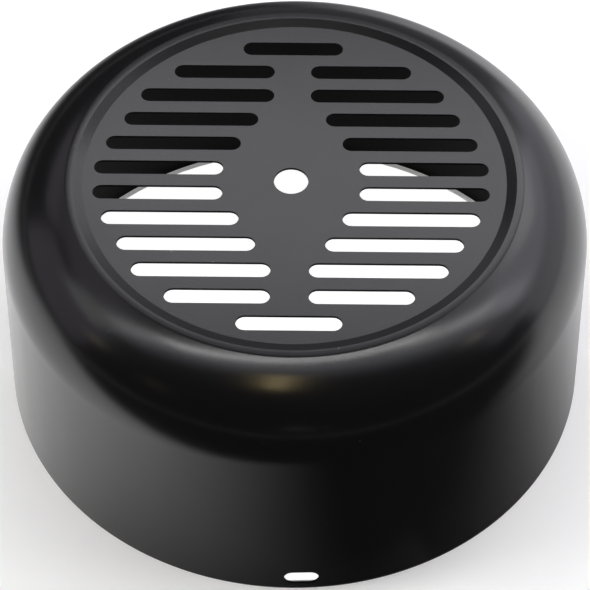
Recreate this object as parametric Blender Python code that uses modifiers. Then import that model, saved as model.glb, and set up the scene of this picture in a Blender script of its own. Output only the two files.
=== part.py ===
"""Motor fan cover: a deep-drawn sheet-steel cowl with a slotted grille.

One sheet is drawn into a round cup. Its crown has a large shoulder, a narrow
rim and a disc set slightly below the rim. The disc is punched with rows of
long slots that leave a diamond-shaped rib round a centre hole. The wall is
punched near its open edge with slots for the fixing screws.

Frame: the origin is the centre of the open edge, +Z points up the axis to the
grille, and the slot rows run along X. The front of the cover faces -Y.
"""

import math

import bmesh
import bpy
from mathutils import Matrix, Vector

MM = 0.001

# Drawn shell, outer skin
COVER_HEIGHT = 86.0 * MM
EDGE_RADIUS = 90.2 * MM
WALL_DRAFT = math.radians(0.75)
SHOULDER_RADIUS = 27.0 * MM
SHOULDER_LEAN = math.radians(14.5)
RIM_WIDTH = 2.4 * MM
RIM_BEND_RADIUS = 4.0 * MM
SHEET = 0.8 * MM

# Step down from the rim to the disc, an ogee of two equal arcs
STEP_WIDTH = 3.2 * MM
RECESS_DEPTH = 0.9 * MM

# Grille
ROW_PITCH = 10.0 * MM
SLOT_WIDTH = 5.45 * MM
PUNCH_LENGTHS = (41.0 * MM, 39.0 * MM, 31.0 * MM)
SHORTEST_PAIR = 15.0 * MM
GRILLE_BORDER = 3.75 * MM
RIB_HALF_WIDTH = 20.5 * MM
RIB_TAPER_PER_ROW = 5.1 * MM
RIB_HALF_MINIMUM = 5.6 * MM
CENTRE_HOLE_DIAMETER = 10.4 * MM
# The grille was punched a little off the axis: to the left and towards the front
GRILLE_SHIFT = Vector((-1.05, -0.9)) * MM

# Fixing slots in the wall
FIXING_COUNT = 4
FIXING_TURN = math.radians(1.95)
FIXING_HEIGHT = 5.2 * MM
FIXING_LENGTH = 10.6 * MM
FIXING_WIDTH = 5.5 * MM

# Facets
TURNED_STEPS = 96
STEP_BEND_STEPS = 3
RIM_BEND_STEPS = 2
SHOULDER_STEPS = 10
SLOT_END_STEPS = 8
HOLE_STEPS = 24
WELD_DISTANCE = 0.001 * MM
CUT_ALLOWANCE = 4.0 * MM

FRONT = math.radians(-90.0)


def clear_scene():
    for found in list(bpy.data.objects):
        bpy.data.objects.remove(found, do_unlink=True)


def make_collection(name):
    collection = bpy.data.collections.new(name)
    bpy.context.scene.collection.children.link(collection)
    return collection


def black_paint():
    material = bpy.data.materials.new("black_paint")
    material.use_nodes = True
    shader = material.node_tree.nodes["Principled BSDF"]
    shader.inputs["Base Color"].default_value = (0.008, 0.008, 0.009, 1.0)
    shader.inputs["Roughness"].default_value = 0.32
    shader.inputs["Metallic"].default_value = 0.0
    return material


def arc(centre, radius, start, end, steps):
    """Points on an arc; angles are measured from +Z towards +X (outwards)."""
    points = []
    for step in range(steps + 1):
        angle = start + (end - start) * step / steps
        offset = Vector((math.sin(angle), math.cos(angle))) * radius
        points.append(centre + offset)
    return points


def shoulder_centre():
    """Centre of the shoulder's arc: tangent to the wall, and leaning at the rim's corner."""
    wall_normal = Vector((math.cos(WALL_DRAFT), math.sin(WALL_DRAFT)))
    wall_upwards = Vector((-math.sin(WALL_DRAFT), math.cos(WALL_DRAFT)))
    foot = Vector((EDGE_RADIUS, 0.0)) - wall_normal * SHOULDER_RADIUS
    height = COVER_HEIGHT - SHOULDER_RADIUS * math.cos(SHOULDER_LEAN)
    return foot + wall_upwards * (height - foot.y) / wall_upwards.y


def disc_radius():
    """Radius of the flat disc: what the shoulder, the rim and the step leave."""
    rim_corner = shoulder_centre().x + SHOULDER_RADIUS * math.sin(SHOULDER_LEAN)
    return rim_corner - RIM_WIDTH - STEP_WIDTH


def ogee(foot_radius):
    """Two equal arcs that lift the skin from the disc to the rim, level at both ends."""
    width = STEP_WIDTH
    rise = RECESS_DEPTH
    bend_radius = (width**2 + rise**2) / (4.0 * rise)
    slope = math.asin(width / 2.0 / bend_radius)
    disc_height = COVER_HEIGHT - RECESS_DEPTH
    hollow = Vector((foot_radius, disc_height + bend_radius))
    crest = Vector((foot_radius + width, COVER_HEIGHT - bend_radius))
    foot = arc(hollow, bend_radius, math.pi, math.pi - slope, STEP_BEND_STEPS)
    top = arc(crest, bend_radius, -slope, 0.0, STEP_BEND_STEPS)
    return foot + top[1:]


def shell_profile():
    """Outer skin from the disc's edge to below the open edge, as (radius, height)."""
    # The bend touches the flat rim from below and the shoulder's arc from inside.
    shoulder = shoulder_centre()
    drop = COVER_HEIGHT - RIM_BEND_RADIUS - shoulder.y
    bend_offset = math.sqrt((SHOULDER_RADIUS - RIM_BEND_RADIUS) ** 2 - drop**2)
    bend = shoulder + Vector((bend_offset, drop))
    bend_end = math.atan2(bend_offset, drop)
    wall_start = math.pi / 2.0 - WALL_DRAFT
    below_edge = Vector((EDGE_RADIUS + CUT_ALLOWANCE * math.tan(WALL_DRAFT), -CUT_ALLOWANCE))

    profile = ogee(disc_radius())
    profile += arc(bend, RIM_BEND_RADIUS, 0.0, bend_end, RIM_BEND_STEPS)
    profile += arc(shoulder, SHOULDER_RADIUS, bend_end, wall_start, SHOULDER_STEPS)[1:]
    profile.append(below_edge)
    return profile


def turned_skin(collection):
    """The outer skin: the profile turned round the axis, with a flat disc over its middle."""
    mesh = bpy.data.meshes.new("skin_profile")
    profile = shell_profile()
    points = [(point.x, 0.0, point.y) for point in profile]
    edges = [(index, index + 1) for index in range(len(points) - 1)]
    mesh.from_pydata(points, edges, [])
    turned = bpy.data.objects.new("skin_profile", mesh)
    collection.objects.link(turned)
    screw = turned.modifiers.new("turn", "SCREW")
    screw.axis = "Z"
    screw.angle = math.tau
    screw.steps = TURNED_STEPS
    screw.render_steps = TURNED_STEPS
    screw.use_merge_vertices = True
    screw.merge_threshold = WELD_DISTANCE

    depsgraph = bpy.context.evaluated_depsgraph_get()
    skin = bpy.data.meshes.new_from_object(turned.evaluated_get(depsgraph))
    bpy.data.objects.remove(turned, do_unlink=True)

    bm = bmesh.new()
    bm.from_mesh(skin)
    disc_height = COVER_HEIGHT - RECESS_DEPTH
    disc_edges = [
        edge
        for edge in bm.edges
        if edge.is_boundary and min(vert.co.z for vert in edge.verts) > disc_height - WELD_DISTANCE
    ]
    for face in bm.faces:
        face.smooth = True
    disc = bmesh.ops.holes_fill(bm, edges=disc_edges, sides=0)["faces"]
    for face in disc:
        face.smooth = False
    bmesh.ops.recalc_face_normals(bm, faces=bm.faces)
    bm.to_mesh(skin)
    bm.free()
    return skin


def obround(length, width, centre_x=0.0, centre_y=0.0):
    """Outline of a slot along X with round ends, counter-clockwise."""
    radius = width / 2.0
    reach = length / 2.0 - radius
    points = []
    for side in (1.0, -1.0):
        for step in range(SLOT_END_STEPS + 1):
            angle = math.pi * (step / SLOT_END_STEPS - 0.5)
            x = side * (reach + radius * math.cos(angle))
            y = side * radius * math.sin(angle)
            points.append((centre_x + x, centre_y + y))
    return points


def circle(diameter):
    radius = diameter / 2.0
    points = []
    for step in range(HOLE_STEPS):
        angle = math.tau * step / HOLE_STEPS
        points.append((radius * math.cos(angle), radius * math.sin(angle)))
    return points


def grille_outlines():
    """Slots on both sides of the diamond rib, one central slot where a row is short."""
    slot_radius = SLOT_WIDTH / 2.0
    field_radius = disc_radius() - GRILLE_BORDER - slot_radius
    outlines = [circle(CENTRE_HOLE_DIAMETER)]
    row = 0
    while True:
        row_y = (row + 0.5) * ROW_PITCH
        if row_y >= field_radius:
            break
        reach = math.sqrt(field_radius**2 - row_y**2) + slot_radius
        inner = max(RIB_HALF_WIDTH - row * RIB_TAPER_PER_ROW, RIB_HALF_MINIMUM)
        room = reach - inner
        if room >= SHORTEST_PAIR:
            length = next((punch for punch in PUNCH_LENGTHS if punch <= room), room)
            centres = [inner + length / 2.0, -inner - length / 2.0]
        else:
            length = next((punch for punch in PUNCH_LENGTHS if punch <= 2.0 * reach), 2.0 * reach)
            centres = [0.0]
        for centre_x in centres:
            outlines.append(obround(length, SLOT_WIDTH, centre_x, row_y))
            outlines.append(obround(length, SLOT_WIDTH, centre_x, -row_y))
        row += 1
    return outlines


def punch(name, outlines, half_depth, placement, collection):
    """A cutter: flat outlines given a depth along their own Z, then placed."""
    curve = bpy.data.curves.new(name, "CURVE")
    curve.dimensions = "2D"
    curve.fill_mode = "BOTH"
    curve.extrude = half_depth
    for outline in outlines:
        spline = curve.splines.new("POLY")
        spline.points.add(len(outline) - 1)
        for point, (x, y) in zip(spline.points, outline):
            point.co = (x, y, 0.0, 1.0)
        spline.use_cyclic_u = True
    drawn = bpy.data.objects.new(name, curve)
    collection.objects.link(drawn)

    depsgraph = bpy.context.evaluated_depsgraph_get()
    mesh = bpy.data.meshes.new_from_object(drawn.evaluated_get(depsgraph))
    bpy.data.objects.remove(drawn, do_unlink=True)
    bm = bmesh.new()
    bm.from_mesh(mesh)
    bmesh.ops.remove_doubles(bm, verts=bm.verts, dist=WELD_DISTANCE)
    bmesh.ops.recalc_face_normals(bm, faces=bm.faces)
    bm.to_mesh(mesh)
    bm.free()

    cutter = bpy.data.objects.new(name, mesh)
    cutter.matrix_world = placement
    return as_cutter(cutter, collection)


def as_cutter(cutter, collection):
    cutter.hide_render = True
    cutter.display_type = "WIRE"
    collection.objects.link(cutter)
    return cutter


def edge_trim(collection):
    """A block that trims the drawn wall square at the open edge."""
    half = EDGE_RADIUS + 2.0 * CUT_ALLOWANCE
    bm = bmesh.new()
    bmesh.ops.create_cube(bm, size=1.0, matrix=Matrix.Diagonal((2.0 * half, 2.0 * half, 4.0 * CUT_ALLOWANCE, 1.0)))
    bmesh.ops.translate(bm, verts=bm.verts, vec=(0.0, 0.0, -2.0 * CUT_ALLOWANCE))
    mesh = bpy.data.meshes.new("edge_trim")
    bm.to_mesh(mesh)
    bm.free()
    return as_cutter(bpy.data.objects.new("edge_trim", mesh), collection)


def grille_punch(collection):
    placement = Matrix.Translation((*GRILLE_SHIFT, COVER_HEIGHT - RECESS_DEPTH - SHEET / 2.0))
    half_depth = SHEET / 2.0 + CUT_ALLOWANCE
    return punch("grille_punch", grille_outlines(), half_depth, placement, collection)


def fixing_punches(collection):
    """Slots that run round the wall, evenly spaced, the first at the front."""
    outline = obround(FIXING_LENGTH, FIXING_WIDTH)
    wall_middle = EDGE_RADIUS - SHEET / 2.0
    cutters = []
    for index in range(FIXING_COUNT):
        turn = Matrix.Rotation(FRONT + FIXING_TURN + math.tau * index / FIXING_COUNT, 4, "Z")
        outwards = Matrix.Translation((wall_middle, 0.0, FIXING_HEIGHT))
        upright = Matrix.Rotation(math.pi / 2.0, 4, "Z") @ Matrix.Rotation(math.pi / 2.0, 4, "X")
        name = f"fixing_punch_{index + 1}"
        cutters.append(punch(name, [outline], SHEET / 2.0 + CUT_ALLOWANCE, turn @ outwards @ upright, collection))
    return cutters


def fan_cover(collection, cutters):
    """The cover: the skin given the sheet's thickness inwards, trimmed and punched."""
    cover = bpy.data.objects.new("fan_cover", turned_skin(cutters))
    cover.data.name = "fan_cover"
    collection.objects.link(cover)
    cover.data.materials.append(black_paint())

    sheet = cover.modifiers.new("sheet", "SOLIDIFY")
    sheet.thickness = SHEET
    sheet.offset = -1.0
    sheet.use_even_offset = True

    for cutter in [edge_trim(cutters), grille_punch(cutters), *fixing_punches(cutters)]:
        cut = cover.modifiers.new(cutter.name, "BOOLEAN")
        cut.operation = "DIFFERENCE"
        cut.solver = "EXACT"
        cut.object = cutter
    return cover


def main():
    clear_scene()
    parts = make_collection("motor_fan_cover")
    cutters = make_collection("cutters")
    fan_cover(parts, cutters)


main()
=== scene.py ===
"""Looks of a motor fan cover: a drawn black cowl with a slotted grille, on a pale floor.

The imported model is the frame. The cover's own solid is replaced by a finer shell
of the same sizes, with rounded edges and a painted finish.
"""

import logging
import math
from dataclasses import dataclass, field, replace
from enum import IntEnum
from typing import ClassVar

import bmesh
import bpy
from mathutils import Euler, Matrix, Vector


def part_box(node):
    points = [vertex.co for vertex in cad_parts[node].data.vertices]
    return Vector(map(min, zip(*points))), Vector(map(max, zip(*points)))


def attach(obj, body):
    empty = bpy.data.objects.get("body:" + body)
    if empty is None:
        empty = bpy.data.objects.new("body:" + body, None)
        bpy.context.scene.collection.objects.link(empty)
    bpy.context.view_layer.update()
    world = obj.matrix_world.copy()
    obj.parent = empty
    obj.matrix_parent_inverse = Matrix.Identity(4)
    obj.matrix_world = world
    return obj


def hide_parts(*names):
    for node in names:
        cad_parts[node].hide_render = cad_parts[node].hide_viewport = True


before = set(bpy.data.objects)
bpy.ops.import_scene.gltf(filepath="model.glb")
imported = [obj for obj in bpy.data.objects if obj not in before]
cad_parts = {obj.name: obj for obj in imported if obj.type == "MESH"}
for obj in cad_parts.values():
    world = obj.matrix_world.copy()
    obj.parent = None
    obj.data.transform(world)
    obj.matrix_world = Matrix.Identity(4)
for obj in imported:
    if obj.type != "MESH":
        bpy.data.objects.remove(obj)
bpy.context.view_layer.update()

MM = 0.001
COOL = (1.0, 0.99, 1.09)
MAUVE = (1.07, 0.96, 1.12)
WHITE = (1.0, 1.0, 1.0, 1.0)
BACKGROUND_RAYS = ("Is Camera Ray", "Is Glossy Ray", "Is Transmission Ray")
log = logging.getLogger("fan_cover")


class Side(IntEnum):
    """Which side of the sheet a face belongs to, also its material's place."""

    OUTSIDE = 0
    INSIDE = 1


class Outline:
    """A chain of edges in a bmesh, drawn by moving its end."""

    def __init__(self, bm: bmesh.types.BMesh, start: Vector) -> None:
        """Starts the chain.

        Args:
            bm: The mesh to draw in.
            start: The first point.
        """
        self.bm = bm
        self.first = bm.verts.new(start)
        self.end = self.first
        self.verts = [self.first]

    def line_to(self, point: Vector) -> "Outline":
        """Draws a straight edge.

        Args:
            point: Where the edge ends.

        Returns:
            This outline.
        """
        drawn = bmesh.ops.extrude_vert_indiv(self.bm, verts=[self.end])
        self.end = drawn["verts"][0]
        self.end.co = point
        self.verts.append(self.end)
        return self

    def turn(self, centre: Vector, axis: Vector, angle: float, steps: int) -> "Outline":
        """Draws an arc.

        Args:
            centre: The arc's centre.
            axis: The axis that the end turns about.
            angle: How far it turns, in radians.
            steps: How many edges the arc has.

        Returns:
            This outline.
        """
        step = angle / steps
        for _ in range(steps):
            drawn = bmesh.ops.spin(
                self.bm, geom=[self.end], cent=centre, axis=axis, angle=step, steps=1, use_duplicate=False
            )
            self.end = next(item for item in drawn["geom_last"] if isinstance(item, bmesh.types.BMVert))
            self.verts.append(self.end)
        return self

    def close(self) -> "Outline":
        """Joins the end to the start and returns this outline."""
        self.bm.edges.new((self.end, self.first))
        return self

    def edges(self) -> list[bmesh.types.BMEdge]:
        """The edges between this outline's own points."""
        own = set(self.verts)
        found = {
            edge
            for vert in self.verts
            for edge in vert.link_edges
            if edge.verts[0] in own and edge.verts[1] in own
        }
        return list(found)


@dataclass(frozen=True)
class BlackPaint:
    """Satin black paint on drawn steel, with a fine peel and a little dust."""

    name: str = "satin_black_paint"
    colour: tuple[float, float, float] = (0.0065, 0.0065, 0.007)
    roughness: float = 0.21
    sheen_range: tuple[float, float] = (0.93, 1.07)
    specular: float = 0.5
    ior: float = 1.55
    peel_size: float = 0.7 * MM
    peel_depth: float = 0.006 * MM
    wave_size: float = 14.0 * MM
    wave_depth: float = 0.010 * MM
    dust_colour: tuple[float, float, float] = (0.16, 0.15, 0.14)
    dust_spacing: float = 7.0 * MM
    dust_size: float = 0.030
    dust_core: float = 0.6
    dust_cover: float = 0.8

    def make(self) -> bpy.types.Material:
        """Builds the paint's nodes.

        Returns:
            The material.
        """
        material = bpy.data.materials.new(self.name)
        material.use_nodes = True
        tree = material.node_tree
        nodes = tree.nodes
        link = tree.links.new
        shader = nodes["Principled BSDF"]
        shader.inputs["Specular IOR Level"].default_value = self.specular
        shader.inputs["IOR"].default_value = self.ior
        place = nodes.new("ShaderNodeTexCoord").outputs["Object"]

        # Dust: points of a scattered pattern that happen to lie on the surface
        specks = nodes.new("ShaderNodeTexVoronoi")
        specks.inputs["Scale"].default_value = 1.0 / self.dust_spacing
        link(place, specks.inputs["Vector"])
        near = nodes.new("ShaderNodeMapRange")
        near.inputs["From Min"].default_value = self.dust_size
        near.inputs["From Max"].default_value = self.dust_size * self.dust_core
        near.inputs["To Max"].default_value = self.dust_cover
        link(specks.outputs["Distance"], near.inputs["Value"])

        tint = nodes.new("ShaderNodeMix")
        tint.data_type = "RGBA"
        tint.inputs["A"].default_value = (*self.colour, 1.0)
        tint.inputs["B"].default_value = (*self.dust_colour, 1.0)
        link(near.outputs["Result"], tint.inputs["Factor"])
        link(tint.outputs["Result"], shader.inputs["Base Color"])

        # Sheen of the paint, a little uneven
        cloud = nodes.new("ShaderNodeTexNoise")
        cloud.inputs["Scale"].default_value = 1.0 / self.wave_size
        cloud.inputs["Detail"].default_value = 4.0
        link(place, cloud.inputs["Vector"])
        sheen = nodes.new("ShaderNodeMapRange")
        sheen.inputs["To Min"].default_value = self.roughness * self.sheen_range[0]
        sheen.inputs["To Max"].default_value = self.roughness * self.sheen_range[1]
        link(cloud.outputs["Fac"], sheen.inputs["Value"])
        link(sheen.outputs["Result"], shader.inputs["Roughness"])

        # The drawn sheet's slow waves under the paint's fine peel
        waves = nodes.new("ShaderNodeBump")
        waves.inputs["Distance"].default_value = self.wave_depth
        waves.inputs["Strength"].default_value = 1.0
        link(cloud.outputs["Fac"], waves.inputs["Height"])
        peel = nodes.new("ShaderNodeTexNoise")
        peel.inputs["Scale"].default_value = 1.0 / self.peel_size
        peel.inputs["Detail"].default_value = 1.0
        link(place, peel.inputs["Vector"])
        skin = nodes.new("ShaderNodeBump")
        skin.inputs["Distance"].default_value = self.peel_depth
        skin.inputs["Strength"].default_value = 1.0
        link(peel.outputs["Fac"], skin.inputs["Height"])
        link(waves.outputs["Normal"], skin.inputs["Normal"])
        link(skin.outputs["Normal"], shader.inputs["Normal"])
        return material


@dataclass
class CoverShell:
    """The drawn and punched sheet-steel cover."""

    # Drawn shell, outer skin
    wall_draft: float = math.radians(0.75)
    shoulder_radius: float = 27.0 * MM
    shoulder_lean: float = math.radians(13.2)
    rim_crown_radius: float = 27.0 * MM
    rim_bend_radius: float = 4.0 * MM
    sheet: float = 0.8 * MM

    # Step down from the rim to the disc
    disc_radius: float = 63.575 * MM
    step_width: float = 3.2 * MM
    step_bend_radius: float = 0.5 * MM
    recess_depth: float = 0.9 * MM

    # Grille
    row_pitch: float = 10.0 * MM
    slot_width: float = 5.45 * MM
    punch_lengths: tuple[float, ...] = (41.0 * MM, 39.0 * MM, 31.0 * MM)
    shortest_pair: float = 15.0 * MM
    grille_border: float = 3.75 * MM
    rib_half_width: float = 20.5 * MM
    rib_taper_per_row: float = 5.1 * MM
    rib_half_minimum: float = 5.6 * MM
    centre_hole_diameter: float = 10.4 * MM
    grille_shift: Vector = field(default_factory=lambda: Vector((-1.05, -0.9)) * MM)

    # Fixing slots in the wall
    fixing_count: int = 4
    fixing_turn: float = math.radians(1.95)
    fixing_height: float = 5.2 * MM
    fixing_length: float = 10.6 * MM
    fixing_width: float = 5.5 * MM

    # Fineness of the mesh
    turned_steps: int = 240
    wall_ring_gaps: tuple[float, ...] = (30.0 * MM, 15.0 * MM, 5.0 * MM)
    bend_steps: int = 6
    shoulder_steps: int = 26
    slot_end_steps: int = 10
    hole_steps: int = 40
    flat_margin: float = 0.6 * MM
    edge_round: float = 0.08 * MM
    edge_round_steps: int = 2
    sharp_angle: float = math.radians(40.0)
    outside_share: float = 0.6
    weld: float = 0.001 * MM
    near: float = 0.01 * MM
    open_edge_reach: float = 0.1 * MM

    outside: BlackPaint = field(default_factory=BlackPaint)
    # The inside's paint is rougher than the outside's, and darker and barely glossy: painted shade for the
    # cover's shaded inside
    inside: BlackPaint = field(
        default_factory=lambda: BlackPaint(
            name="dull_shaded_black_inside",
            colour=(0.0055, 0.0055, 0.006),
            roughness=0.62,
            specular=0.05,
            dust_size=0.0,
        )
    )

    def __post_init__(self) -> None:
        """Takes the cover's place, height and radius from the frame."""
        low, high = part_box("fan_cover")
        self.base = low[2]
        self.top = high[2]
        self.edge_radius = (high[0] - low[0]) / 2.0
        self.disc_height = self.top - self.recess_depth
        self.shoulder = self._shoulder_centre()

    def _shoulder_centre(self) -> Vector:
        """Finds the centre of the shoulder's arc.

        Returns:
            Its radius and height: the arc touches the wall, and leans at the rim's corner.
        """
        wall_normal = Vector((math.cos(self.wall_draft), math.sin(self.wall_draft)))
        upwards = Vector((-math.sin(self.wall_draft), math.cos(self.wall_draft)))
        foot = Vector((self.edge_radius, self.base)) - wall_normal * self.shoulder_radius
        height = self.top - self.shoulder_radius * math.cos(self.shoulder_lean)
        return foot + upwards * (height - foot.y) / upwards.y

    def _touching_centre(self, crown: Vector, crown_radius: float) -> Vector:
        """Finds the small bend that runs smoothly from the rim's crown into the shoulder.

        Args:
            crown: Centre of the rim's crown.
            crown_radius: Radius of the rim's crown.

        Returns:
            The bend's centre, which touches both arcs from inside.
        """
        reach_crown = crown_radius - self.rim_bend_radius
        reach_shoulder = self.shoulder_radius - self.rim_bend_radius
        apart = crown - self.shoulder
        along = (reach_shoulder**2 - reach_crown**2 + apart.length_squared) / (2.0 * apart.length)
        aside = math.sqrt(reach_shoulder**2 - along**2)
        across = Vector((-apart.y, apart.x)).normalized()
        return self.shoulder + apart.normalized() * along + across * aside

    def wall_radius(self, height: float) -> float:
        """The wall's outer radius at a height."""
        return self.edge_radius - (height - self.base) * math.tan(self.wall_draft)

    def _step_slope(self) -> float:
        """How steeply the step rises between its two small bends, in radians."""
        rise = self.recess_depth - 2.0 * self.step_bend_radius
        reach = math.hypot(self.step_width, rise)
        return math.acos(-2.0 * self.step_bend_radius / reach) - math.atan2(self.step_width, rise)

    def _profile(self, bm: bmesh.types.BMesh) -> Outline:
        """Draws the outer skin's section from the disc's edge to the open edge.

        Args:
            bm: The mesh to draw in.

        Returns:
            The section, in the XZ plane.
        """
        foot, head = self.disc_radius, self.disc_radius + self.step_width
        small, slope = self.step_bend_radius, self._step_slope()
        crown = Vector((head, self.top - self.rim_crown_radius))
        bend = self._touching_centre(crown, self.rim_crown_radius)
        bend_start = math.atan2(bend.x - crown.x, bend.y - crown.y)
        bend_end = math.atan2(bend.x - self.shoulder.x, bend.y - self.shoulder.y)
        wall_start = math.pi / 2.0 - self.wall_draft
        across = Vector((0.0, 1.0, 0.0))

        def point(radius: float, height: float) -> Vector:
            """A point of the section."""
            return Vector((radius, 0.0, height))

        outline = Outline(bm, point(foot - self.flat_margin, self.disc_height))
        outline.line_to(point(foot, self.disc_height))
        outline.turn(point(foot, self.disc_height + small), across, -slope, self.bend_steps)
        outline.line_to(point(head - small * math.sin(slope), self.top - small * (1.0 - math.cos(slope))))
        outline.turn(point(head, self.top - small), across, slope, self.bend_steps)
        outline.turn(point(crown.x, crown.y), across, bend_start, self.bend_steps)
        outline.turn(point(bend.x, bend.y), across, bend_end - bend_start, self.bend_steps)
        outline.turn(
            point(self.shoulder.x, self.shoulder.y), across, wall_start - bend_end, self.shoulder_steps
        )
        for height in self._wall_rings():
            outline.line_to(point(self.wall_radius(height), height))
        return outline

    def _wall_rings(self) -> list[float]:
        """Heights of the rings down the wall, close ones round the fixing slots."""
        half = self.fixing_width / 2.0 + self.flat_margin
        above = self.base + self.fixing_height + half + self.flat_margin
        below = self.base + self.fixing_height - half - self.flat_margin
        return [*(above + gap for gap in self.wall_ring_gaps), above, below, self.base]

    def _obround(self, bm: bmesh.types.BMesh, length: float, width: float, grow: float) -> Outline:
        """Draws a slot with round ends about the origin, flat in XY.

        Args:
            bm: The mesh to draw in.
            length: The slot's length along X.
            width: The slot's width.
            grow: How far outside the slot's edge the outline runs.

        Returns:
            The closed outline.
        """
        reach = (length - width) / 2.0
        radius = width / 2.0 + grow
        upwards = Vector((0.0, 0.0, 1.0))
        outline = Outline(bm, Vector((reach, -radius, 0.0)))
        outline.turn(Vector((reach, 0.0, 0.0)), upwards, math.pi, self.slot_end_steps)
        outline.line_to(Vector((-reach, radius, 0.0)))
        outline.turn(Vector((-reach, 0.0, 0.0)), upwards, math.pi, self.slot_end_steps)
        return outline.close()

    def _ringed_opening(
        self, bm: bmesh.types.BMesh, length: float, width: float, centre: Vector
    ) -> list[bmesh.types.BMEdge]:
        """Makes the flat margin round one punched opening of the disc.

        Args:
            bm: The mesh to make it in.
            length: The opening's length along X, or its diameter.
            width: The opening's width.
            centre: The opening's middle.

        Returns:
            The margin's outer edges.
        """
        if length > width:
            inner = self._obround(bm, length, width, 0.0)
            outer = self._obround(bm, length, width, self.flat_margin)
            rings = [(inner.verts, inner.edges()), (outer.verts, outer.edges())]
        else:
            rings = []
            for radius in (width / 2.0, width / 2.0 + self.flat_margin):
                verts = bmesh.ops.create_circle(bm, radius=radius, segments=self.hole_steps)["verts"]
                rings.append((verts, list({edge for vert in verts for edge in vert.link_edges})))
        for verts, _ in rings:
            bmesh.ops.translate(bm, verts=verts, vec=centre)
        bmesh.ops.bridge_loops(bm, edges=rings[0][1] + rings[1][1])
        return rings[1][1]

    def grille_openings(self) -> list[tuple[float, float, Vector]]:
        """Lays out the grille.

        Returns:
            Length, width and middle of the centre hole and of each slot: two slots
            beside the diamond rib, or one central slot where a row is short.
        """
        end_radius = self.slot_width / 2.0
        field_radius = self.disc_radius - self.grille_border - end_radius
        middle = Vector((*self.grille_shift, self.disc_height))
        openings = [(self.centre_hole_diameter, self.centre_hole_diameter, middle)]
        for row in range(math.ceil(field_radius / self.row_pitch)):
            row_y = (row + 0.5) * self.row_pitch
            if row_y >= field_radius:
                break
            reach = math.sqrt(field_radius**2 - row_y**2) + end_radius
            inner = max(self.rib_half_width - row * self.rib_taper_per_row, self.rib_half_minimum)
            paired = reach - inner >= self.shortest_pair
            room = reach - inner if paired else 2.0 * reach
            length = next((punch for punch in self.punch_lengths if punch <= room), room)
            offsets = (inner + length / 2.0, -inner - length / 2.0) if paired else (0.0,)
            for offset in offsets:
                for side in (1.0, -1.0):
                    openings.append((length, self.slot_width, middle + Vector((offset, side * row_y, 0.0))))
        return openings

    def _fill_disc(self, bm: bmesh.types.BMesh) -> None:
        """Fills the flat disc round its openings.

        Args:
            bm: The turned skin, open inside the disc's edge.
        """
        rim = self.disc_radius - self.flat_margin
        edges = [
            edge
            for edge in bm.edges
            if edge.is_boundary and all(abs(vert.co.xy.length - rim) < self.near for vert in edge.verts)
        ]
        for length, width, centre in self.grille_openings():
            edges += self._ringed_opening(bm, length, width, centre)
        bmesh.ops.triangle_fill(bm, edges=edges, use_beauty=True, use_dissolve=False, normal=(0.0, 0.0, 1.0))

    def _punch_wall(self, bm: bmesh.types.BMesh, index: int) -> None:
        """Punches one fixing slot through the skin's wall.

        Args:
            bm: The turned skin.
            index: Which slot, from the front and counter-clockwise seen from above.
        """
        turn = math.radians(-90.0) + self.fixing_turn + math.tau * index / self.fixing_count
        rings = self._wall_rings()
        half_angle = (self.fixing_length / 2.0 + 2.0 * self.flat_margin) / self.edge_radius
        columns = math.ceil(half_angle / (math.tau / self.turned_steps))
        half_angle = (columns + 0.01) * math.tau / self.turned_steps

        def in_window(vert: bmesh.types.BMVert) -> bool:
            """Whether a corner lies in the patch round the slot."""
            away = math.remainder(math.atan2(vert.co.y, vert.co.x) - turn, math.tau)
            return abs(away) < half_angle and rings[-2] - self.near < vert.co.z < rings[-3] + self.near

        patch = [face for face in bm.faces if all(in_window(vert) for vert in face.verts)]
        frame_edges = {edge for face in patch for edge in face.edges}
        bmesh.ops.delete(bm, geom=patch, context="FACES")
        frame_edges = [edge for edge in frame_edges if edge.is_valid]

        outlines = [
            self._obround(bm, self.fixing_length, self.fixing_width, grow) for grow in (0.0, self.flat_margin)
        ]
        for outline in outlines:
            for vert in outline.verts:
                angle = turn + vert.co.x / self.edge_radius
                height = self.base + self.fixing_height + vert.co.y
                radius = self.wall_radius(height)
                vert.co = (radius * math.cos(angle), radius * math.sin(angle), height)
        bmesh.ops.bridge_loops(bm, edges=outlines[0].edges() + outlines[1].edges())
        facing = Vector((math.cos(turn), math.sin(turn), 0.0))
        edges = frame_edges + outlines[1].edges()
        bmesh.ops.triangle_fill(bm, edges=edges, use_beauty=True, use_dissolve=False, normal=facing)

    def _outwards(self, point: Vector) -> Vector:
        """Which way is out of the cover at a point of its sheet.

        Args:
            point: A point on either side of the sheet.

        Returns:
            A direction of unit length.
        """
        flat = point.xy
        if flat.length > self.shoulder.x:
            flat = flat.normalized() * self.shoulder.x
        core = Vector((flat.x, flat.y, min(point.z, self.shoulder.y)))
        return (point - core).normalized()

    def _thicken(self, bm: bmesh.types.BMesh) -> None:
        """Gives the skin its sheet inwards, squares the open edge and rounds the cut edges.

        Args:
            bm: The skin, with its faces pointing outwards.
        """
        bmesh.ops.solidify(bm, geom=bm.faces[:], thickness=self.sheet)
        for vert in bm.verts:
            if abs(vert.co.z - self.base) < self.open_edge_reach:
                vert.co.z = self.base
        bm.normal_update()
        sharp = [edge for edge in bm.edges if edge.calc_face_angle(0.0) > self.sharp_angle]
        bmesh.ops.bevel(
            bm,
            geom=sharp,
            offset=self.edge_round,
            segments=self.edge_round_steps,
            profile=0.5,
            affect="EDGES",
            clamp_overlap=True,
            material=-1,
        )
        bm.normal_update()
        for face in bm.faces:
            face.smooth = True
            outwards = face.normal.dot(self._outwards(face.calc_center_median()))
            face.material_index = Side.OUTSIDE if outwards > self.outside_share else Side.INSIDE

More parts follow.
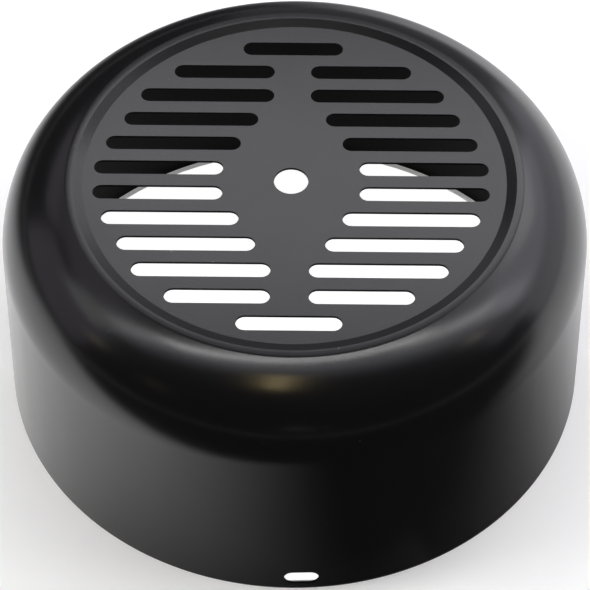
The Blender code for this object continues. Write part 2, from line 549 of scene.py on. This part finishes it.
    def build(self) -> bpy.types.Object:
        """Builds, dresses and places the cover.

        Returns:
            The finished piece.
        """
        bm = bmesh.new()
        profile = self._profile(bm)
        start = Matrix.Rotation(math.radians(-90.0) + self.fixing_turn, 3, "Z")
        bmesh.ops.rotate(bm, verts=bm.verts[:], cent=(0.0, 0.0, 0.0), matrix=start)
        bmesh.ops.spin(
            bm,
            geom=profile.verts + profile.edges(),
            cent=(0.0, 0.0, 0.0),
            axis=(0.0, 0.0, 1.0),
            angle=math.tau,
            steps=self.turned_steps,
            use_merge=True,
            use_duplicate=False,
        )
        bmesh.ops.remove_doubles(bm, verts=bm.verts[:], dist=self.weld)
        for index in range(self.fixing_count):
            self._punch_wall(bm, index)
        self._fill_disc(bm)
        bmesh.ops.recalc_face_normals(bm, faces=bm.faces[:])
        facing = sum(face.normal.dot(self._outwards(face.calc_center_median())) for face in bm.faces)
        if facing < 0.0:
            bmesh.ops.reverse_faces(bm, faces=bm.faces[:])
        self._thicken(bm)

        mesh = bpy.data.meshes.new("cover_shell")
        bm.to_mesh(mesh)
        bm.free()
        piece = bpy.data.objects.new("cover_shell", mesh)
        bpy.context.scene.collection.objects.link(piece)
        mesh.materials.append(self.outside.make())
        mesh.materials.append(self.inside.make())
        evening = piece.modifiers.new("even_shading", "WEIGHTED_NORMAL")
        evening.mode = "FACE_AREA"
        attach(piece, "root")
        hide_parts("fan_cover")
        return piece


@dataclass(frozen=True)
class Lamp:
    """One soft box, placed and sized in degrees as the cover sees it.

    Bearing is measured from the back of the cover, clockwise seen from above.
    A wash lights the floor and isn't mirrored in the paint.
    """

    near_distance: ClassVar[float] = 0.9
    near_spread: ClassVar[float] = 50.0

    name: str
    bearing: float
    elevation: float
    wide: float
    tall: float
    brightness: float
    colour: tuple[float, float, float] = (1.0, 1.0, 1.0)
    wash: bool = False
    distance: float = 1.6
    aim: tuple[float, float, float] = (0.0, 0.0, 0.06)
    spread: float = 180.0

    def near_wash(self, aim: tuple[float, float, float]) -> "Lamp":
        """Makes a closer, narrower wash of this lamp.

        Args:
            aim: The place on the floor that it lights.

        Returns:
            The wash.
        """
        return replace(self, wash=True, distance=self.near_distance, aim=aim, spread=self.near_spread)

    def hang(self) -> bpy.types.Object:
        """Hangs the lamp and turns it to the point it is aimed at.

        Returns:
            The lamp.
        """
        light = bpy.data.lights.new(self.name, "AREA")
        light.shape = "RECTANGLE"
        light.size = 2.0 * self.distance * math.tan(math.radians(self.wide / 2.0))
        light.size_y = 2.0 * self.distance * math.tan(math.radians(self.tall / 2.0))
        light.energy = self.brightness * math.pi * light.size * light.size_y
        light.color = self.colour
        light.spread = math.radians(self.spread)
        lamp = bpy.data.objects.new(self.name, light)
        bearing, elevation = math.radians(self.bearing), math.radians(self.elevation)
        level = math.cos(elevation)
        towards = Vector((math.sin(bearing) * level, math.cos(bearing) * level, math.sin(elevation)))
        lamp.location = Vector(self.aim) + towards * self.distance
        lamp.rotation_euler = Euler((math.pi / 2.0 - elevation, 0.0, math.pi - bearing))
        lamp.visible_camera = False
        lamp.visible_glossy = not self.wash
        bpy.context.scene.collection.objects.link(lamp)
        return lamp


@dataclass(frozen=True)
class SoftPatch:
    """A corner of the floor with soft edges, each given from its start to where it is whole."""

    across_x: tuple[float, float]
    across_y: tuple[float, float]


@dataclass
class Stage:
    """The pale floor, the soft boxes, a dark card of painted shade and a painted glow on the floor, both of
    which only the paint mirrors, and the room's light.
    """

    # Floor, pad and card
    floor_colour: tuple[float, float, float] = (0.86, 0.86, 0.86)
    floor_roughness: float = 0.9
    floor_specular: float = 0.1
    floor_size: float = 8.0
    pad_radius: float = 87.5 * MM
    pad_steps: int = 96
    pad_height: float = 0.2 * MM
    mirrored_shade_colour: tuple[float, float, float] = (0.03, 0.03, 0.03)
    card_half_size: tuple[float, float] = (1.6, 2.0)
    card_height: float = 0.4 * MM

    # Brightness of the room, of the floor as the camera and the paint see it, and of the painted glow on the
    # floor beside the cover that only the paint sees
    room_brightness: float = 0.02
    pad_brightness: float = 1.0
    floor_brightness: float = 0.25
    painted_glow_brightness: float = 0.28

    # Soft edges on the floor: the painted glow beside the cover that only the paint mirrors, and the dark
    # card of painted shade
    painted_glow_left: tuple[float, float] = (-0.05, -0.12)
    painted_glow_right: tuple[float, float] = (0.085, 0.165)
    card_front: tuple[float, float] = (-0.115, -0.16)
    card_front_right: SoftPatch = SoftPatch((-0.088, 0.027), (-0.01, -0.10))
    card_back_left: SoftPatch = SoftPatch((0.20, -0.07), (0.04, 0.28))
    card_right: SoftPatch = SoftPatch((0.0, 0.05), (0.035, -0.095))
    card_right_end: tuple[float, float] = (0.24, 0.11)

    # Name, bearing, elevation, width and height in degrees, brightness, colour
    lamps: tuple[Lamp, ...] = (
        Lamp("ceiling_strip", -8.5, 87.4, 46.0, 4.0, 11.0),
        Lamp("ceiling_strip_left", -91.0, 58.0, 8.0, 20.0, 2.1),
        Lamp("ceiling_strip_right", 84.0, 59.0, 8.0, 22.0, 3.2),
        Lamp("right_high_panel", 60.0, 57.0, 30.0, 12.0, 0.9, COOL),
        Lamp("ceiling_end_left", -88.0, 40.0, 18.0, 13.0, 1.0),
        Lamp("ceiling_end_right", 81.0, 39.0, 10.0, 20.0, 1.1, COOL),
        Lamp("ceiling_glow", 180.0, 84.0, 90.0, 9.0, 0.9, (0.97, 0.99, 1.09)),
        Lamp("ceiling_far_glow", 180.0, 76.0, 80.0, 9.0, 0.3, (0.92, 0.99, 1.16)),
        Lamp("back_strip_left", -22.0, 46.0, 20.0, 9.0, 0.18),
        Lamp("back_strip", 3.0, 49.0, 24.0, 9.0, 2.65, (1.01, 0.985, 1.05)),
        Lamp("back_strip_right", 33.0, 42.0, 30.0, 14.0, 1.2),
        Lamp("back_panel", 8.0, 33.0, 50.0, 15.0, 0.5, COOL),
        Lamp("back_low_panel", 10.0, 14.0, 34.0, 26.0, 0.17, COOL),
        Lamp("back_high_panel", 12.0, 60.0, 50.0, 11.0, 0.4, COOL),
        Lamp("right_panel", 60.0, 38.0, 48.0, 28.0, 1.5, COOL),
        Lamp("right_low_panel", 58.0, 12.0, 62.0, 24.0, 0.95, COOL),
        Lamp("right_dim_panel", 96.0, 27.0, 16.0, 20.0, 0.45, COOL),
        Lamp("left_panel", -82.0, 21.0, 42.0, 32.0, 0.4, MAUVE),
        Lamp("left_high_panel", -58.0, 52.0, 30.0, 20.0, 0.35, MAUVE),
        Lamp("left_back_panel", -42.0, 32.0, 22.0, 14.0, 0.42, MAUVE),
        Lamp("warm_lamp", -171.2, 64.5, 4.5, 17.0, 4.4, (1.25, 0.98, 0.5)),
        Lamp("warm_spot_right", 102.0, 40.0, 4.0, 7.0, 2.4, (1.1, 0.98, 0.88)),
        Lamp("warm_spot_left", -104.5, 24.0, 4.0, 6.0, 1.0, (1.2, 0.98, 0.6)),
        Lamp("warm_spot_low", -131.0, 23.0, 4.0, 6.0, 0.35, (1.25, 0.96, 0.55)),
        Lamp("front_spot", 178.0, 9.0, 7.0, 3.5, 0.4),
        Lamp("left_wash", -100.0, 60.0, 14.0, 14.0, 1.4).near_wash((-0.22, -0.08, 0.0)),
        Lamp("right_wash", 100.0, 60.0, 14.0, 14.0, 0.6).near_wash((0.22, -0.08, 0.0)),
        Lamp("back_wash", -20.0, 55.0, 24.0, 24.0, 1.2, wash=True),
    )

    @staticmethod
    def _rectangle(half_x: float, half_y: float) -> list[tuple[float, float]]:
        """Corners of a rectangle about the origin, counter-clockwise seen from above."""
        return [(-half_x, -half_y), (half_x, -half_y), (half_x, half_y), (-half_x, half_y)]

    def _sheet(
        self, name: str, corners: list[tuple[float, float]], height: float, colour: tuple[float, float, float]
    ) -> bpy.types.Object:
        """Makes one flat dull sheet of the stage.

        Args:
            name: The sheet's name.
            corners: Its corners, counter-clockwise seen from above.
            height: How high it lies.
            colour: Its colour.

        Returns:
            The sheet, with a material of its own.
        """
        bm = bmesh.new()
        bm.faces.new([bm.verts.new((x, y, height)) for x, y in corners])
        mesh = bpy.data.meshes.new(name)
        bm.to_mesh(mesh)
        bm.free()
        material = bpy.data.materials.new(name)
        material.use_nodes = True
        shader = material.node_tree.nodes["Principled BSDF"]
        shader.inputs["Base Color"].default_value = (*colour, 1.0)
        shader.inputs["Roughness"].default_value = self.floor_roughness
        mesh.materials.append(material)
        sheet = bpy.data.objects.new(name, mesh)
        bpy.context.scene.collection.objects.link(sheet)
        return sheet

    def _math(
        self, tree: bpy.types.NodeTree, operation: str, *values: bpy.types.NodeSocket | float
    ) -> bpy.types.NodeSocket:
        """Works out one sum in a material.

        Args:
            tree: The material's nodes.
            operation: The sum's kind, such as ADD.
            values: Sockets or plain numbers.

        Returns:
            The result.
        """
        node = tree.nodes.new("ShaderNodeMath")
        node.operation = operation
        for socket, value in zip(node.inputs, values):
            if isinstance(value, float):
                socket.default_value = value
            else:
                tree.links.new(value, socket)
        return node.outputs[0]

    def _fade(self, tree: bpy.types.NodeTree, axis: str, start: float, end: float) -> bpy.types.NodeSocket:
        """Makes one soft edge across the stage.

        Args:
            tree: The material's nodes.
            axis: The axis that the edge lies across, X or Y.
            start: Where the result is still zero.
            end: Where the result has reached one.

        Returns:
            The result.
        """
        split = tree.nodes.new("ShaderNodeSeparateXYZ")
        tree.links.new(tree.nodes.new("ShaderNodeTexCoord").outputs["Object"], split.inputs[0])
        ramp = tree.nodes.new("ShaderNodeMapRange")
        ramp.interpolation_type = "SMOOTHSTEP"
        ramp.inputs["From Min"].default_value = start
        ramp.inputs["From Max"].default_value = end
        tree.links.new(split.outputs[axis], ramp.inputs["Value"])
        return ramp.outputs["Result"]

    def _patch(self, tree: bpy.types.NodeTree, patch: SoftPatch) -> bpy.types.NodeSocket:
        """Makes a corner patch with soft edges.

        Args:
            tree: The material's nodes.
            patch: Where its edges lie.

        Returns:
            One within the patch, otherwise zero.
        """
        across_x = self._fade(tree, "X", *patch.across_x)
        return self._math(tree, "MULTIPLY", across_x, self._fade(tree, "Y", *patch.across_y))

    def _rays(self, tree: bpy.types.NodeTree, *kinds: str) -> bpy.types.NodeSocket:
        """Tells some kinds of ray from the others.

        Args:
            tree: The material's nodes.
            kinds: Names of the kinds, as Light Path gives them.

        Returns:
            One for a ray of these kinds, otherwise zero.
        """
        path = tree.nodes.new("ShaderNodeLightPath")
        seen = path.outputs[kinds[0]]
        for kind in kinds[1:]:
            seen = self._math(tree, "MAXIMUM", seen, path.outputs[kind])
        return seen

    def _floor(self) -> bpy.types.Object:
        """Lays the floor under the open edge.

        Returns:
            The floor.
        """
        half = self.floor_size / 2.0
        floor = self._sheet("floor", self._rectangle(half, half), 0.0, self.floor_colour)
        tree = floor.active_material.node_tree
        shader = tree.nodes["Principled BSDF"]
        shader.inputs["Specular IOR Level"].default_value = self.floor_specular
        background = self._math(tree, "MULTIPLY", self._rays(tree, *BACKGROUND_RAYS), self.floor_brightness)

        # Painted reflection: the floor glows for reflected rays only, beside the cover and not close to it,
        # standing in for light on the floor at the sides and shade near the cover
        beside = self._math(
            tree,
            "MAXIMUM",
            self._fade(tree, "X", *self.painted_glow_left),
            self._fade(tree, "X", *self.painted_glow_right),
        )
        painted_glow = self._math(tree, "MULTIPLY", beside, self.painted_glow_brightness)
        mirrored = self._math(tree, "MULTIPLY", painted_glow, self._rays(tree, "Is Glossy Ray"))
        shader.inputs["Emission Color"].default_value = WHITE
        tree.links.new(self._math(tree, "ADD", background, mirrored), shader.inputs["Emission Strength"])
        return floor

    def _pad(self) -> bpy.types.Object:
        """Lays a pale pad under the cover, so that the background shows white through the slots.

        Returns:
            The pad.
        """
        angles = [math.tau * step / self.pad_steps for step in range(self.pad_steps)]
        corners = [(self.pad_radius * math.cos(angle), self.pad_radius * math.sin(angle)) for angle in angles]
        pad = self._sheet("pad_under_cover", corners, self.pad_height, self.floor_colour)
        tree = pad.active_material.node_tree
        shader = tree.nodes["Principled BSDF"]
        shader.inputs["Emission Color"].default_value = WHITE
        background = self._math(tree, "MULTIPLY", self._rays(tree, *BACKGROUND_RAYS), self.pad_brightness)
        tree.links.new(background, shader.inputs["Emission Strength"])
        return pad

    def _mirrored_shade_card(self) -> bpy.types.Object:
        """Lays a soft-edged dark card on the floor, which only the paint mirrors: painted shade in the
        paint's reflections, for the dark floor in front of the cover and the shade on the floor close round
        it.

        Returns:
            The card.
        """
        corners = self._rectangle(*self.card_half_size)
        card = self._sheet("mirrored_shade_card", corners, self.card_height, self.mirrored_shade_colour)
        tree = card.active_material.node_tree
        shader = tree.nodes["Principled BSDF"]
        shader.inputs["Roughness"].default_value = 1.0
        shader.inputs["Specular IOR Level"].default_value = 0.0
        front_right = self._patch(tree, self.card_front_right)
        back_left = self._patch(tree, self.card_back_left)
        right = self._patch(tree, self.card_right)
        right = self._math(tree, "MULTIPLY", right, self._fade(tree, "X", *self.card_right_end))
        # The card is opaque in front of the cover and in soft patches close round it: painted shade, seen
        # only in the paint's reflections
        whole = self._fade(tree, "Y", *self.card_front)
        for patch in (front_right, back_left, right):
            whole = self._math(tree, "MAXIMUM", whole, patch)
        tree.links.new(whole, shader.inputs["Alpha"])
        card.visible_camera = False
        card.visible_diffuse = False
        card.visible_shadow = False
        return card

    def _room(self) -> None:
        """Sets the room's even light."""
        world = bpy.data.worlds.new("studio")
        world.use_nodes = True
        background = world.node_tree.nodes["Background"]
        background.inputs["Color"].default_value = WHITE
        background.inputs["Strength"].default_value = self.room_brightness
        bpy.context.scene.world = world

    def build(self) -> None:
        """Lays the floor, the pad and the card, hangs the lamps and sets the room."""
        self._floor()
        self._pad()
        self._mirrored_shade_card()
        for lamp in self.lamps:
            lamp.hang()
        self._room()
        bpy.context.scene.view_settings.view_transform = "Standard"


@dataclass(frozen=True)
class PhotoCamera:
    """The camera that took the photograph, as measured from the cover's outline."""

    lens: float = 185.2
    sensor: float = 36.0
    distance: float = 607.64 * MM
    height: float = 765.5 * MM
    sideways: float = 0.1 * MM
    tilt: float = math.radians(50.43)
    bearing: float = math.radians(0.65)
    clip: tuple[float, float] = (0.05, 50.0)

    def build(self) -> bpy.types.Object:
        """Places the camera.

        Returns:
            The camera.
        """
        data = bpy.data.cameras.new("photo_camera")
        data.lens = self.lens
        data.sensor_width = self.sensor
        data.sensor_fit = "HORIZONTAL"
        data.clip_start, data.clip_end = self.clip
        camera = bpy.data.objects.new("photo_camera", data)
        turn = Matrix.Rotation(self.bearing, 3, "Z")
        camera.location = turn @ Vector((self.sideways, -self.distance, self.height))
        camera.rotation_euler = Euler((math.pi / 2.0 - self.tilt, 0.0, self.bearing))
        bpy.context.scene.collection.objects.link(camera)
        bpy.context.scene.camera = camera
        return camera


def main() -> None:
    """Builds the cover, the stage and the camera."""
    logging.basicConfig(level=logging.INFO, format="%(name)s: %(message)s")
    PhotoCamera().build()
    cover = CoverShell().build()
    log.info("%s: %d faces", cover.name, len(cover.data.polygons))
    Stage().build()


if __name__ == "__main__":
    main()
